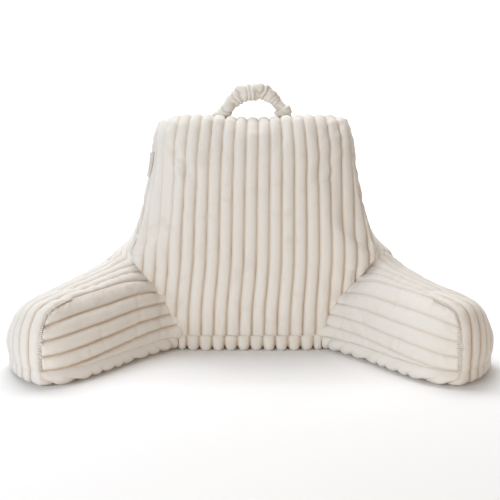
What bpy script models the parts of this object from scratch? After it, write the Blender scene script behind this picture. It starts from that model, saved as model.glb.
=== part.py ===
"""Reading pillow with arms: a stuffed backrest with two splayed arms and a carry handle.

Every piece is a cut panel of ribbed plush together with the filling behind it, down to the
middle of the pillow, so the pieces meet along their real seams. X runs to the right, Y to the
rear and Z up, in millimetres until each mesh is written in metres. The origin is the middle of
the base under the backrest.
"""
import math

import bpy
import numpy as np

for old in list(bpy.data.objects):
    bpy.data.objects.remove(old, do_unlink=True)

MM = 0.001
GAP = 0.2                   # each side of a seam, so pieces stand 0.4 apart
RIB_PITCH = 24.5
RIB_STEPS = 3               # points across one rib
RIB_HEIGHT = 6.0
STEP = RIB_PITCH / RIB_STEPS

BASE_TOP = 30.0             # height of the seam round the base
PANEL_FOOT = 30.3
BACKREST_TOP = 463.0
CORE_HEAD = 400.0           # where the front and rear pieces start to share the top wall
CORE_ARM = 80.0             # height of the filling's middle line in the arms

BOTTOM_COLUMNS = 16         # columns of the front panel that stand on the base seam, each side
MITRE_COLUMNS = 9           # columns that stand on the seam with the arm's inner panel
SHOULDER_COLUMNS = 5        # columns that stand on the seam with the arm's gusset
TOP_COLUMNS = 23            # columns that reach the top seam
EDGE_COLUMNS = BOTTOM_COLUMNS + MITRE_COLUMNS + SHOULDER_COLUMNS
REAR_BOTTOM_COLUMNS = 24
ARM_RIBS = 4
ARM_STATIONS = 10
GUSSET_RIBS = 7

MITRE_FOOT_X = BOTTOM_COLUMNS * STEP
MITRE_SLOPE = 1.374         # rise of the diagonal seam for each millimetre sideways
BISECTOR = np.array((0.405, 0.914, 0.0))   # plan direction of the cut between backrest and arm

# Across the backrest at each height: the front at the middle and at its side seam, the half
# width at the front side seam, the rear at the middle and at its side seam, and the half
# width at the rear side seam.
BACKREST_COLUMNS = ("height", "front_mid", "front_seam", "front_half",
                    "rear_mid", "rear_seam", "rear_half")
BACKREST = (
    (30.3, -92, -90, 131, 88, 94, 222),
    (70, -102, -86.5, 159, 98, 94, 246),
    (132, -102, -81, 204, 103, 93, 284),
    (188, -95, -76, 245, 104, 92, 262),
    (238, -87, -68, 231, 103, 89, 236),
    (297, -77, -58, 216, 98, 84, 219),
    (357, -65, -47, 207, 93, 77, 210),
    (416, -48, -30, 200, 84, 64, 203),
    (452, -20, 19, 187.8, 66, 21, 187.8),
)

PLAIN_ROWS = 8              # rows of a face's points below the roll over the top
ROLL_SHARES = (0.93, 0.955, 0.978, 0.992, 1.0)
TOP_SEAM = (45.0, 458.0)    # Y and Z of the seam behind the top edge, in the middle
TOP_CORNER = (20.0, 452.0)  # and where it meets the side seams

# The arm's seams with its gusset, along the top and then down the front end. Columns: inner
# seam X and Y, outer seam X and Y, height of both, and the gusset's crown between them.
ARM_TOP = (
    (204, -81, 284, 93, 131.3, 40),
    (244, -138, 328, 36, 133, 32),
    (284, -197, 368, -32, 131, 23),
    (324, -258, 408, -104, 128, 15),
    (360, -312, 446, -172, 119, 9),
)
ARM_END = (
    (372, -328, 456, -190, 99, 15),
    (379, -332, 463, -196, 78, 22),
    (377, -330, 461, -195, 54, 22),
    (369, -324, 455, -190, 30.3, 17),
)
SHOULDER_LEAN = 0.55        # how far the gusset's crown leans outwards where the arm begins
ARM_CORE_END = np.array((362.0, -198.0, 74.0))

# The filling's middle line up the shoulder and the backrest's side. Columns: height of the
# seam beside it, its own X and height, and the crown of the gusset over it.
SIDE_CORE = (
    (132, 208, 80, 40),
    (160, 196, 122, 26),
    (188, 172, 166, 13),
    (238, 146, 226, 10),
    (297, 136, 290, 8),
    (357, 130, 345, 6),
    (416, 125, 385, 5),
    (452, 120, 400, 1),
)

HANDLE_MIDDLE = 7.0         # the handle sits a little right of the middle
HANDLE_SPREAD = 61.0
HANDLE_RISE = 48.0
HANDLE_RADIUS = 12.5
HANDLE_FOOT = (50.0, 465.0)
HANDLE_LEAN = 6.0
HANDLE_GATHERS = 15

LABEL_HEIGHTS = (344.0, 392.0)
LABEL_REACH = 10.0
LABEL_THICKNESS = 1.6

COLUMN = {name: index for index, name in enumerate(BACKREST_COLUMNS)}


def material(name, colour, roughness):
    finish = bpy.data.materials.new(name)
    finish.use_nodes = True
    shader = finish.node_tree.nodes["Principled BSDF"]
    shader.inputs["Base Color"].default_value = (*colour, 1.0)
    shader.inputs["Roughness"].default_value = roughness
    shader.inputs["Metallic"].default_value = 0.0
    return finish


def unit(vector):
    return vector / max(np.linalg.norm(vector), 1e-9)


def backrest(name, height):
    """One of the backrest's table columns at a height."""
    rows = np.array(BACKREST)
    return float(np.interp(height, rows[:, 0], rows[:, COLUMN[name]]))


def core_y(height):
    """The filling's middle plane, leaning back with the pillow."""
    return 2.0 + 0.035 * (height - PANEL_FOOT)


def smooth_line(points, count):
    """A curve through the points, sampled evenly: Catmull-Rom, with straight ends."""
    points = np.array(points, float)
    padded = np.vstack((2 * points[0] - points[1], points, 2 * points[-1] - points[-2]))
    samples = []
    for k in range(count + 1):
        place = (len(points) - 1) * k / count
        i = min(int(place), len(points) - 2)
        t = place - i
        a, b, c, d = padded[i:i + 4]
        samples.append(0.5 * (2 * b + (c - a) * t + (2 * a - 5 * b + 4 * c - d) * t ** 2
                              + (3 * b - a - 3 * c + d) * t ** 3))
    return np.array(samples)


# ---- the seams, on the right-hand side -------------------------------------------------

def mitre_height(x):
    return PANEL_FOOT + (x - MITRE_FOOT_X) * MITRE_SLOPE


def side_height(x):
    """Height of the front side seam above the shoulder where it stands x from the middle."""
    rows = np.array(BACKREST)[3:][::-1]
    return float(np.interp(x, rows[:, COLUMN["front_half"]], rows[:, 0]))


def diagonal_point(height):
    x = MITRE_FOOT_X + (height - PANEL_FOOT) / MITRE_SLOPE
    return np.array((x, backrest("front_seam", height), height))


def mitre_core(height):
    """The middle of the cut between backrest and arm, below the filling's middle line."""
    share = (CORE_ARM - PANEL_FOOT) / (BACKREST[2][0] - PANEL_FOOT)
    low = PANEL_FOOT + (height - PANEL_FOOT) * share
    start = diagonal_point(low)
    reach = (core_y(low) - start[1]) / BISECTOR[1]
    return start + BISECTOR * reach


def side_stations():
    """Stations of the gusset from the top corner down the side and the shoulder.

    Each is the front seam, the rear seam, the filling's middle and the crown.
    """
    core = np.array(SIDE_CORE)
    heights = [side_height(STEP * i) for i in range(TOP_COLUMNS, EDGE_COLUMNS)]
    heights[0] = BACKREST[-1][0]
    heights += [mitre_height(STEP * i)
                for i in range(EDGE_COLUMNS, BOTTOM_COLUMNS + MITRE_COLUMNS - 1, -1)]
    stations = []
    for place, z in enumerate(heights):
        column = TOP_COLUMNS + place
        if column > EDGE_COLUMNS:
            column = 2 * EDGE_COLUMNS - column
        front = np.array((STEP * column, backrest("front_seam", z), z))
        rear = np.array((backrest("rear_half", z), backrest("rear_seam", z), z))
        core_z = float(np.interp(z, core[:, 0], core[:, 2]))
        middle = np.array((float(np.interp(z, core[:, 0], core[:, 1])), core_y(core_z), core_z))
        stations.append((front, rear, middle, float(np.interp(z, core[:, 0], core[:, 3]))))
    front, rear, middle, crown = stations[-1]
    stations[-1] = (front, rear, mitre_core(front[2]), crown)
    return stations


def arm_stations(shoulder):
    """Stations of the gusset from the shoulder along the arm's top and down its front end."""
    rows = smooth_line(ARM_TOP, ARM_STATIONS)
    start = shoulder[2]
    stations = [shoulder]
    for k, row in enumerate(rows[1:], start=1):
        middle = start + (ARM_CORE_END - start) * k / ARM_STATIONS
        stations.append((np.array((row[0], row[1], row[4])),
                         np.array((row[2], row[3], row[4])), middle, row[5]))
    count = ARM_RIBS * RIB_STEPS
    rows = smooth_line((ARM_TOP[-1],) + ARM_END, count)
    for k, row in enumerate(rows[1:], start=1):
        middle = ARM_CORE_END.copy()
        middle[2] += (PANEL_FOOT - ARM_CORE_END[2]) * k / count
        stations.append((np.array((row[0], row[1], row[4])),
                         np.array((row[2], row[3], row[4])), middle, row[5]))
    return stations


# ---- solids -----------------------------------------------------------------------------

def raise_ribs(grid, across, fades):
    """Raise the points between two grooves off the smooth face, less near the seams."""
    du = np.gradient(grid, axis=0)
    dv = np.gradient(grid, axis=1)
    normals = np.cross(du, dv)
    normals /= np.maximum(np.linalg.norm(normals, axis=2, keepdims=True), 1e-9)
    raised = grid.copy()
    for i in range(grid.shape[0]):
        for j in range(grid.shape[1]):
            place = i if across == 0 else j
            lift = RIB_HEIGHT if place % RIB_STEPS else 0.0
            raised[i, j] += normals[i, j] * lift * fades[i][j]
    return raised


def rim(columns, rows):
    """The grid's outline, once round, as index pairs."""
    loop = [(i, 0) for i in range(columns)]
    loop += [(columns - 1, j) for j in range(1, rows)]
    loop += [(i, rows - 1) for i in range(columns - 2, -1, -1)]
    loop += [(0, j) for j in range(rows - 2, 0, -1)]
    return loop


def neighbour(points, k, step):
    """The next point round a loop that doesn't lie on point k."""
    place = k + step
    while np.linalg.norm(points[place % len(points)] - points[k]) < 1e-6:
        place += step
    return points[place % len(points)]


def split_rank(point):
    """Orders seam points, so that both sides of a seam split its wall the same way."""
    return abs(point[0]) + 0.37 * point[1] + 0.71 * point[2]


def panel_solid(name, outer, inner, shift, finish, flat_inside):
    """A filled piece between its sewn face and the pillow's middle.

    outer is the face's grid and inner the matching grid inside, of which only the rim is used
    where the inside is flat. Both rims draw back from the seams by the gap, and the inside
    moves by shift.
    """
    columns, rows = outer.shape[:2]
    outer, inner = outer.copy(), inner + np.array(shift)
    loop = rim(columns, rows)
    edge = [outer[place].copy() for place in loop]
    moves = []
    for k, place in enumerate(loop):
        before, after = neighbour(edge, k, -1), neighbour(edge, k, 1)
        moves.append(GAP * 1.15 * unit(np.cross(after - before, inner[place] - outer[place])))
    for place, move in zip(loop, moves):
        outer[place] += move
        inner[place] += move
    vertices, faces, index = [], [], {}

    def vertex(point):
        key = tuple(np.round(point, 4))
        if key not in index:
            index[key] = len(vertices)
            vertices.append(key)
        return index[key]

    def face(points):
        corners = [vertex(p) for p in points]
        corners = [c for k, c in enumerate(corners) if c != corners[k - 1]]
        if len(corners) > 2:
            faces.append(corners)

    for i in range(columns - 1):
        for j in range(rows - 1):
            face((outer[i, j], outer[i + 1, j], outer[i + 1, j + 1], outer[i, j + 1]))
            if not flat_inside:
                face((inner[i, j], inner[i, j + 1], inner[i + 1, j + 1], inner[i + 1, j]))
    for k, place in enumerate(loop):
        after = loop[(k + 1) % len(loop)]
        if split_rank(outer[place]) > split_rank(outer[after]):
            face((outer[after], outer[place], inner[after]))
            face((outer[place], inner[place], inner[after]))
        else:
            face((outer[after], outer[place], inner[place]))
            face((outer[after], inner[place], inner[after]))
    if flat_inside:
        face([inner[place] for place in reversed(loop)])
    return mesh_object(name, vertices, faces, finish)


def mesh_object(name, vertices, faces, finish):
    mesh = bpy.data.meshes.new(name)
    mesh.from_pydata([tuple(c * MM for c in v) for v in vertices], [], faces)
    mesh.validate()
    mesh.update()
    mesh.shade_smooth()
    mesh.set_sharp_from_angle(angle=math.radians(40))
    mesh.materials.append(finish)
    piece = bpy.data.objects.new(name, mesh)
    bpy.context.collection.objects.link(piece)
    return piece


def flipped(grid):
    """The left-hand twin of a grid: mirrored, with its columns turned round."""
    twin = grid[::-1].copy()
    twin[..., 0] *= -1
    return twin


# ---- backrest -----------------------------------------------------------------------------

def face_point(x, height, side):
    """A point of the smooth front or rear face."""
    mid, seam, half = (backrest(side + part, height) for part in ("_mid", "_seam", "_half"))
    swell = 1 - min(abs(x) / half, 1.0) ** 2.6
    return np.array((x, seam + (mid - seam) * swell, height))


def column_points(x, foot, head, side, reaches_top):
    """One column of the backrest's face from its lower seam to its upper one."""
    heights = [foot + (head - foot) * ROLL_SHARES[0] * j / PLAIN_ROWS
               for j in range(PLAIN_ROWS + 1)]
    if not reaches_top:
        heights += [foot + (head - foot) * share for share in ROLL_SHARES[1:]]
        return [face_point(x, z, side) for z in heights]
    points = [face_point(x, z, side) for z in heights]
    last = points[-1]
    edge = min(abs(x) / (TOP_COLUMNS * STEP), 1.0) ** 5
    seam = np.array((x, TOP_SEAM[0] + (TOP_CORNER[0] - TOP_SEAM[0]) * edge,
                     TOP_SEAM[1] + (TOP_CORNER[1] - TOP_SEAM[1]) * edge))
    top = BACKREST_TOP if side == "front" else seam[2] + 1
    turns = len(ROLL_SHARES) - 1
    for k in range(1, turns + 1):
        angle = math.pi / 2 * k / turns
        y = last[1] + (seam[1] - last[1]) * (1 - math.cos(angle))
        rise = (top - last[2]) * math.sin(angle)
        sink = (seam[2] - top) * (k / turns) ** 3
        points.append(np.array((x, y, last[2] + rise * (1 - 0.25 * edge) + sink)))
    points[-1] = seam
    return points


def backrest_grids(side, stations):
    """The outer grid of the front or rear panel and the rim of its inside, left to right."""
    edge_side = [s[0 if side == "front" else 1] for s in stations]
    cores = [s[2] for s in stations]
    side_count = EDGE_COLUMNS - TOP_COLUMNS
    core_foot = mitre_core(PANEL_FOOT)
    columns, inner = [], []
    if side == "front":
        places = [STEP * i for i in range(EDGE_COLUMNS + 1)]
        foot_end = BOTTOM_COLUMNS
    else:
        places = [STEP * i for i in range(TOP_COLUMNS)] + [p[0] for p in edge_side]
        foot_end = min(range(len(places)), key=lambda i: abs(places[i] - BACKREST[0][6]))
        places[foot_end] = BACKREST[0][6]
    for i, x in enumerate(places):
        if i <= foot_end:
            foot, low_core = PANEL_FOOT, core_foot * np.array((i / foot_end, 1, 1))
        elif side == "front":
            foot = mitre_height(x)
            if i <= BOTTOM_COLUMNS + MITRE_COLUMNS:
                low_core = mitre_core(foot)
            else:
                low_core = cores[side_count + EDGE_COLUMNS - i]
        else:
            share = (x - BACKREST[0][6]) / (BACKREST[2][6] - BACKREST[0][6])
            foot = PANEL_FOOT + share * (BACKREST[2][0] - PANEL_FOOT)
            if i == len(places) - 1:
                foot = edge_side[-1][2]
            low_core = mitre_core(foot)
        if i < TOP_COLUMNS:
            points = column_points(x, foot, BACKREST_TOP, side, True)
            head = np.array((x * SIDE_CORE[-1][1] / (TOP_COLUMNS * STEP),
                             core_y(CORE_HEAD), CORE_HEAD))
        else:
            point = edge_side[i - TOP_COLUMNS]
            points = column_points(x, foot, point[2], side, False)
            points[-1] = point
            if i == TOP_COLUMNS:
                points = column_points(x, foot, BACKREST_TOP - 6, side, True)
                points[-1] = point
            head = cores[i - TOP_COLUMNS]
        columns.append(points)
        rows = len(points)
        inner.append([low_core + (head - low_core) * j / (rows - 1) for j in range(rows)])
    half, inner = np.array(columns), np.array(inner)
    return (np.concatenate((flipped(half)[:-1], half)),
            np.concatenate((flipped(inner)[:-1], inner)))


def row_fades(columns, rows):
    """Ribs stand full everywhere but on the seams."""
    fades = np.ones((columns, rows))
    fades[:, 0] = fades[:, -1] = 0
    fades[0, :] = fades[-1, :] = 0
    return fades


def make_backrest(stations, plush):
    front, inside = backrest_grids("front", stations)
    front = raise_ribs(front, 0, row_fades(*front.shape[:2]))
    panel_solid("front_panel", front, inside, (0, -GAP, 0), plush, True)
    rear, inside = backrest_grids("rear", stations)
    rear, inside = flipped(rear) * (-1, 1, 1), flipped(inside) * (-1, 1, 1)
    rear = raise_ribs(rear, 0, row_fades(*rear.shape[:2]))
    panel_solid("rear_panel", rear, inside, (0, GAP, 0), plush, True)


# ---- arms ---------------------------------------------------------------------------------

def coons(foot, head, start, end, bulge, outward):
    """A face between four seams, swollen outwards in its middle."""
    columns, rows = len(foot), len(start)
    grid = np.zeros((columns, rows, 3))
    for i in range(columns):
        for j in range(rows):
            u, v = i / (columns - 1), j / (rows - 1)
            grid[i, j] = ((1 - v) * foot[i] + v * head[i] + (1 - u) * start[j] + u * end[j]
                          - (1 - u) * (1 - v) * foot[0] - u * (1 - v) * foot[-1]
                          - (1 - u) * v * head[0] - u * v * head[-1])
            swell = max(math.sin(math.pi * u) * math.sin(math.pi * v), 0.0) ** 0.6
            grid[i, j] += np.array(outward) * bulge * swell
    return grid


def arm_grids(stations, inner_side):
    """The arm's inner or outer face and the filling's middle sheet behind it."""
    side = 0 if inner_side else 1
    rows = ARM_RIBS * RIB_STEPS
    head = [s[side] for s in stations[:ARM_STATIONS + 1]]
    end = [s[side] for s in stations[ARM_STATIONS:]][::-1]
    core_head = [s[2] for s in stations[:ARM_STATIONS + 1]]
    core_end = [s[2] for s in stations[ARM_STATIONS:]][::-1]
    if inner_side:
        low = diagonal_point(PANEL_FOOT)
    else:
        low = np.array((BACKREST[0][6], BACKREST[0][5], PANEL_FOOT), float)
    start = [low + (head[0] - low) * j / rows for j in range(rows + 1)]
    core_low = mitre_core(PANEL_FOOT)
    core_start = [core_low + (core_head[0] - core_low) * j / rows for j in range(rows + 1)]
    foot = [low + (end[0] - low) * i / ARM_STATIONS for i in range(ARM_STATIONS + 1)]
    core_foot = [core_low + (core_end[0] - core_low) * i / ARM_STATIONS
                 for i in range(ARM_STATIONS + 1)]
    outward = (-0.74, -0.67, 0) if inner_side else (0.74, 0.67, 0)
    face = coons(foot, head, start, end, 9.0, outward)
    core = coons(core_foot, core_head, core_start, core_end, 0.0, outward)
    return face, core


def make_arms(stations, plush):
    for hand in ("left", "right"):
        for part, inner_side in (("inner", True), ("outer", False)):
            face, core = arm_grids(stations, inner_side)
            shift = np.array((-0.74, -0.67, 0)) * GAP * (1 if inner_side else -1)
            if not inner_side:
                face, core = face[::-1], core[::-1]
            if hand == "left":
                face, core, shift = flipped(face), flipped(core), shift * (-1, 1, 1)
            face = raise_ribs(face, 1, row_fades(*face.shape[:2]))
            panel_solid("arm_%s_%s" % (part, hand), face, core, shift, plush, False)


def make_gussets(stations, plush):
    """The boxing strips: down the backrest's side, along the arm and down its front end."""
    across = GUSSET_RIBS * RIB_STEPS
    grid = np.zeros((len(stations), across + 1, 3))
    core = np.zeros_like(grid)
    shoulder = EDGE_COLUMNS - TOP_COLUMNS + SHOULDER_COLUMNS
    for i, (front, rear, middle, crown) in enumerate(stations):
        outward = unit((front + rear) / 2 - middle)
        outward[0] += SHOULDER_LEAN * math.exp(-((i - shoulder) / 2.5) ** 2)
        outward = unit(outward)
        for j in range(across + 1):
            w = j / across
            grid[i, j] = front + (rear - front) * w
            grid[i, j] += outward * crown * (1 - abs(2 * w - 1) ** 2.3)
        core[i, :] = middle + outward * 2 * GAP
    for hand in ("left", "right"):
        face, inside = (grid, core) if hand == "right" else (grid[::-1], core[::-1])
        if hand == "left":
            face, inside = face * (-1, 1, 1), inside * (-1, 1, 1)
        fades = row_fades(*face.shape[:2])
        widths = np.linalg.norm(face[:, -1] - face[:, 0], axis=1)
        fades *= np.clip(widths / 150.0, 0.05, 1.0)[:, None]
        panel_solid("gusset_" + hand, raise_ribs(face, 1, fades), inside, (0, 0, 0), plush, False)


# ---- base, handle and label -----------------------------------------------------------------

def base_outline(stations):
    """The base seam's right half in plan, from the front's middle round to the rear's."""
    inner_end, outer_end, _, crown = stations[-1]
    front = [(STEP * i, face_point(STEP * i, PANEL_FOOT, "front")[1])
             for i in range(BOTTOM_COLUMNS + 1)]
    start, stop = np.array(front[-1]), inner_end[:2]
    count = int(np.linalg.norm(stop - start) / STEP / RIB_STEPS) * RIB_STEPS
    inner = [tuple(start + (stop - start) * k / count) for k in range(1, count + 1)]
    outward = unit(np.array((stop - start)))
    turns = GUSSET_RIBS * RIB_STEPS
    end = []
    for k in range(1, turns + 1):
        w = k / turns
        place = inner_end[:2] + (outer_end[:2] - inner_end[:2]) * w
        end.append(tuple(place + outward * crown * (1 - abs(2 * w - 1) ** 2.3)))
    start, stop = np.array(end[-1]), np.array((BACKREST[0][6], BACKREST[0][5]), float)
    outer = [tuple(start + (stop - start) * k / count) for k in range(1, count + 1)]
    rear_count = REAR_BOTTOM_COLUMNS
    rear = [(x, face_point(x, PANEL_FOOT, "rear")[1])
            for x in np.linspace(stop[0], 0, rear_count + 1)[1:]]
    return [np.array(p, float) for p in front + inner + end + outer + rear]


def make_base(stations, plush):
    """The underside, turned up all round to the low seam, with the ribs' ends at its edge."""
    half = base_outline(stations)
    outline = half + [np.array((-p[0], p[1])) for p in half[-2:0:-1]]
    count = len(outline)
    levels = ((0.0, -5.0, 0.3), (8.0, 2.0, 1.0), (19.0, 4.0, 1.0), (BASE_TOP, -GAP, 0.0))
    vertices, faces = [], []
    for height, reach, lumps in levels:
        for k, place in enumerate(outline):
            along = outline[(k + 1) % count] - outline[k - 1]
            outward = unit(np.array((along[1], -along[0])))
            lump = RIB_HEIGHT * 0.7 * lumps if min(k, count - k) % RIB_STEPS else 0.0
            vertices.append((*(place + outward * (reach + lump)), height))
    for level in range(len(levels) - 1):
        for k in range(count):
            a, b = level * count + k, level * count + (k + 1) % count
            faces.append((a, b, b + count, a + count))
    faces.append(tuple(range(count - 1, -1, -1)))
    faces.append(tuple(range((len(levels) - 1) * count, len(levels) * count)))
    mesh_object("base_panel", vertices, faces, plush)


def make_handle(plush):
    """A ruched plush tube: an arch whose feet sit in the top seam, gathered all along."""
    sides = 10
    steps = HANDLE_GATHERS * 4
    foot_y, foot_z = HANDLE_FOOT
    centres, radii = [], []
    for k in range(steps + 1):
        angle = math.pi * (1 - k / steps)
        x = HANDLE_MIDDLE + HANDLE_SPREAD * math.copysign(abs(math.cos(angle)) ** 0.8, math.cos(angle))
        z = foot_z + HANDLE_RISE * math.sin(angle) ** 0.8
        centres.append(np.array((x, foot_y - HANDLE_LEAN * math.sin(angle), z)))
        gather = abs(math.sin(HANDLE_GATHERS * math.pi * k / steps))
        radii.append(HANDLE_RADIUS + 3.2 * gather - 1.0)
    vertices, faces = [], []
    for k, (centre, radius) in enumerate(zip(centres, radii)):
        ahead = centres[min(k + 1, steps)] - centres[max(k - 1, 0)]
        along = unit(ahead)
        across = unit(np.cross(along, (0.0, 1.0, 0.0)))
        depth = unit(np.cross(along, across))
        for s in range(sides):
            turn = 2 * math.pi * s / sides + 0.35 * k
            point = centre + radius * (across * math.cos(turn) + depth * math.sin(turn))
            if k in (0, steps):
                point[2] = foot_z + 1.2 - 0.42 * (point[1] - foot_y)
            vertices.append(tuple(point))
    for k in range(steps):
        for s in range(sides):
            a, b = k * sides + s, k * sides + (s + 1) % sides
            faces.append((a, b, b + sides, a + sides))
    faces.append(tuple(range(sides - 1, -1, -1)))
    faces.append(tuple(range(steps * sides, (steps + 1) * sides)))
    mesh_object("handle", vertices, faces, plush)


def make_label(tape):
    """A small folded blank label caught in the left side seam of the front panel."""
    low, high = LABEL_HEIGHTS
    outward = np.array((-0.78, -0.62, 0.0))
    across = np.array((0.62, -0.78, 0.0))
    vertices = []
    for height in (low, high):
        root = np.array((-backrest("front_half", height), backrest("front_seam", height), height))
        for reach, side in ((1.0, -1), (LABEL_REACH, -1), (LABEL_REACH + 1, 0),
                            (LABEL_REACH, 1), (1.0, 1)):
            point = root + outward * (reach + 0.6) + across * side * LABEL_THICKNESS / 2
            vertices.append(tuple(point))
    faces = [(4, 3, 2, 1, 0), (5, 6, 7, 8, 9)]
    faces += [(k, (k + 1) % 5, (k + 1) % 5 + 5, k + 5) for k in range(5)]
    mesh_object("side_label", vertices, faces, tape)


def main():
    side = side_stations()
    arm = arm_stations(side[-1])
    plush = {name: material("plush_" + name, (0.86, 0.81, 0.74), 0.9)
             for name in ("backrest", "arm", "gusset", "base", "handle")}
    tape = material("label_tape", (0.9, 0.88, 0.84), 0.7)
    make_backrest(side, plush["backrest"])
    make_arms(arm, plush["arm"])
    make_gussets(side + arm[1:], plush["gusset"])
    make_base(arm, plush["base"])
    make_handle(plush["handle"])
    make_label(tape)


main()
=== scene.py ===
import math

import bmesh
import bpy
import numpy as np
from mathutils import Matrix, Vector, kdtree


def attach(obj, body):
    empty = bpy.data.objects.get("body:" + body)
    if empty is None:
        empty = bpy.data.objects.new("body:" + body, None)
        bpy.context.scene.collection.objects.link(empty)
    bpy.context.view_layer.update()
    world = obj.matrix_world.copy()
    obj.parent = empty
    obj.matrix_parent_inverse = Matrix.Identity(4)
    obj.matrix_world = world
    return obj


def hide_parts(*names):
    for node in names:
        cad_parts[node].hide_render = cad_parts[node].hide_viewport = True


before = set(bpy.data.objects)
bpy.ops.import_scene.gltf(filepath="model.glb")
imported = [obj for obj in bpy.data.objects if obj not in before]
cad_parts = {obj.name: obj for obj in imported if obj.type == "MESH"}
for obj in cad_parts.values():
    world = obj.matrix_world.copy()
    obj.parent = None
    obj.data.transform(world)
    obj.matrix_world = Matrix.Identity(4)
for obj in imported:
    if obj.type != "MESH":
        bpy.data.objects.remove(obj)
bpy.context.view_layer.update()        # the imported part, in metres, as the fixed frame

mm = 0.001


class Wire:
    # one socket of a node tree, so that shader and geometry maths read as plain expressions
    def __init__(self, tree, socket=None):
        self.tree = tree
        self.socket = socket

    def node(self, kind, settings=None, sockets=None, out=0):
        made = self.tree.nodes.new(kind)
        for name, value in (settings or {}).items():
            setattr(made, name, value)
        for name, value in (sockets or {}).items():
            if isinstance(value, Wire):
                self.tree.links.new(value.socket, made.inputs[name])
            else:
                made.inputs[name].default_value = value
        return Wire(self.tree, made.outputs[out])

    def maths(self, operation, *values):
        return self.node("ShaderNodeMath", {"operation": operation}, dict(enumerate(values)))

    def __add__(self, other):
        return self.maths("ADD", self, other)

    def __sub__(self, other):
        return self.maths("SUBTRACT", self, other)

    def __rsub__(self, other):
        return self.maths("SUBTRACT", other, self)

    def __mul__(self, other):
        return self.maths("MULTIPLY", self, other)

    def __pow__(self, other):
        return self.maths("POWER", self, other)

    def __rpow__(self, other):
        return self.maths("POWER", other, self)

    def __abs__(self):
        return self.maths("ABSOLUTE", self)

    __radd__ = __add__
    __rmul__ = __mul__


def unit(vectors):
    return vectors / np.maximum(np.linalg.norm(vectors, axis=-1, keepdims=True), 1e-9)


def easeIn(value, low, high):
    t = np.clip((value - low) / (high - low), 0.0, 1.0)
    return t * t * (3 - 2 * t)


def comesAndGoes(value, coming, going):
    return easeIn(value, *coming) * (1 - easeIn(value, *going))


def smoothAlong(places, values, at):
    # a curve through a table's rows that never swings past them
    places, values = np.asarray(places, float), np.asarray(values, float)
    at = np.asarray(at, float)
    gaps = np.diff(places)
    rise = np.diff(values, axis=0) / (gaps if values.ndim == 1 else gaps[:, None])
    slopes = np.zeros_like(values)
    slopes[0], slopes[-1] = rise[0], rise[-1]
    together = rise[:-1] * rise[1:]
    total = np.where(np.abs(rise[:-1] + rise[1:]) < 1e-9, 1.0, rise[:-1] + rise[1:])
    slopes[1:-1] = np.where(together > 0, 2 * together / total, 0.0)
    i = np.clip(np.searchsorted(places, at) - 1, 0, len(gaps) - 1)
    width = gaps[i]
    t = np.clip((at - places[i]) / width, 0.0, 1.0)
    if values.ndim > 1:
        t, width = t[..., None], width[..., None]
    a, b = values[i], values[i + 1]
    return (a * (1 + 2 * t) * (1 - t) ** 2 + b * t * t * (3 - 2 * t)
            + width * (slopes[i] * t * (1 - t) ** 2 - slopes[i + 1] * t * t * (1 - t)))


def roundCurve(points, place):
    # a round line through the points, straight at its ends; place counts points from 0
    points = np.array(points, float)
    padded = np.vstack((2 * points[0] - points[1], points, 2 * points[-1] - points[-2]))
    i = np.minimum(place.astype(int), len(points) - 2)
    t = (place - i)[:, None]
    a, b, c, d = padded[i], padded[i + 1], padded[i + 2], padded[i + 3]
    return 0.5 * (2 * b + (c - a) * t + (2 * a - 5 * b + 4 * c - d) * t ** 2
                  + (3 * b - a - 3 * c + d) * t ** 3)


def sweep(a, b, c, d, t):
    # leaves a towards b and reaches d from c
    return (1 - t) ** 3 * a + 3 * t * (1 - t) ** 2 * b + 3 * t * t * (1 - t) * c + t ** 3 * d


def walkedAlong(points):
    return np.append(0.0, np.cumsum(np.linalg.norm(np.diff(points, axis=0), axis=1)))


def arcAlong(grid, axis):
    # distance walked along one direction of the grid, in millimetres
    steps = np.linalg.norm(np.diff(grid, axis=axis), axis=2)
    first = np.zeros_like(np.take(steps, [0], axis=axis))
    return np.concatenate((first, np.cumsum(steps, axis=axis)), axis=axis)


def resampled(at, places, points):
    return np.stack([np.interp(at, places, column) for column in points.T], axis=1)


def searchTree(points):
    tree = kdtree.KDTree(len(points))
    for index, place in enumerate(points):
        tree.insert(place, index)
    tree.balance()
    return tree


def gridFaces(index, turned=False):
    order = (0, 3, 2, 1) if turned else (0, 1, 2, 3)
    quads = np.stack((index[:-1, :-1], index[1:, :-1], index[1:, 1:], index[:-1, 1:]), axis=-1)
    return quads.reshape(-1, 4)[:, order].tolist()


def addObject(name, data):
    made = bpy.data.objects.new(name, data)
    bpy.context.collection.objects.link(made)
    return made


def newObject(name, points, edges, faces):
    mesh = bpy.data.meshes.new(name)
    mesh.from_pydata((np.asarray(points) * mm).tolist(), edges, faces)
    return addObject(name, mesh)


def weldPiece(piece):
    work = bmesh.new()
    work.from_mesh(piece.data)
    closer = 0.004 * mm
    bmesh.ops.remove_doubles(work, verts=work.verts, dist=closer)
    bmesh.ops.dissolve_degenerate(work, edges=work.edges, dist=closer)
    work.to_mesh(piece.data)
    work.free()


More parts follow.
